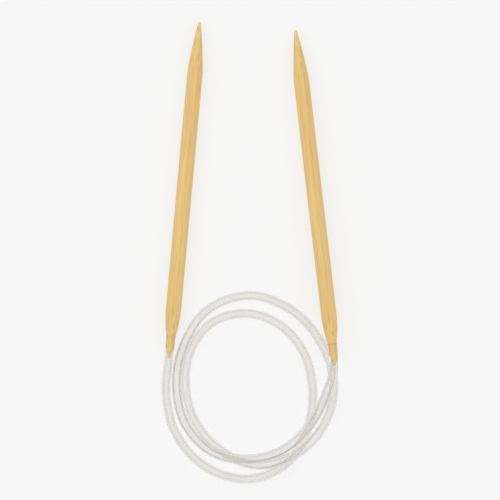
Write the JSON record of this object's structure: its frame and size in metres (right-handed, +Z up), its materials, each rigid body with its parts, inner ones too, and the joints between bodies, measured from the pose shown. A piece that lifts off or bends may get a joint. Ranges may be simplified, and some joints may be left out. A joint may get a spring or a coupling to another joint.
{
  "type": "circular knitting needle",
  "caption": "Circular knitting needle: pointed bamboo needles joined by a loosely coiled clear plastic tube that bends behind each needle.",
  "frame": {"origin": "under the middle of the two needles, on the table that they lie on", "axes": "+Z up from the table, +Y from the coil towards the needle points, +X to the right seen from above"},
  "size_m": [0.0747, 0.1941, 0.0094],
  "materials": {
    "bamboo": "satin, sanded and waxed",
    "clear_tube": "clear, slightly milky, glossy",
    "glue": "clear, slightly yellow"
  },
  "bodies": {
    "cable": {"cable_tube": "clear_tube"},
    "left_bend": {"left_cable_bend": "clear_tube"},
    "right_bend": {"right_cable_bend": "clear_tube"},
    "left_needle_body": {"left_needle": "bamboo", "left_glue_film": "glue", "left_cable_end": "clear_tube"},
    "right_needle_body": {"right_needle": "bamboo", "right_glue_film": "glue", "right_cable_end": "clear_tube"}
  },
  "joints": [
    {"name": "left_lift", "type": "hinge", "parent": "cable", "child": "left_bend", "pos_m": [-0.03472, -0.09158, 0.0022], "axis": [0.9959, -0.0906, 0], "range_deg": [0, 60], "stiffness_Nm_per_rad": 0.02},
    {"name": "left_swing", "type": "hinge", "parent": "left_bend", "child": "left_needle_body", "pos_m": [-0.03549, -0.07662, 0.00282], "axis": [0, 0, 1], "range_deg": [0, 60], "stiffness_Nm_per_rad": 0.02},
    {"name": "right_lift", "type": "hinge", "parent": "cable", "child": "right_bend", "pos_m": [0.02848, -0.09068, 0.00668], "axis": [0.9933, 0.116, 0], "range_deg": [0, 60], "stiffness_Nm_per_rad": 0.02},
    {"name": "right_swing", "type": "hinge", "parent": "right_bend", "child": "right_needle_body", "pos_m": [0.03329, -0.07926, 0.0065], "axis": [0, 0, -1], "range_deg": [-4, 60], "stiffness_Nm_per_rad": 0.02}
  ]
}
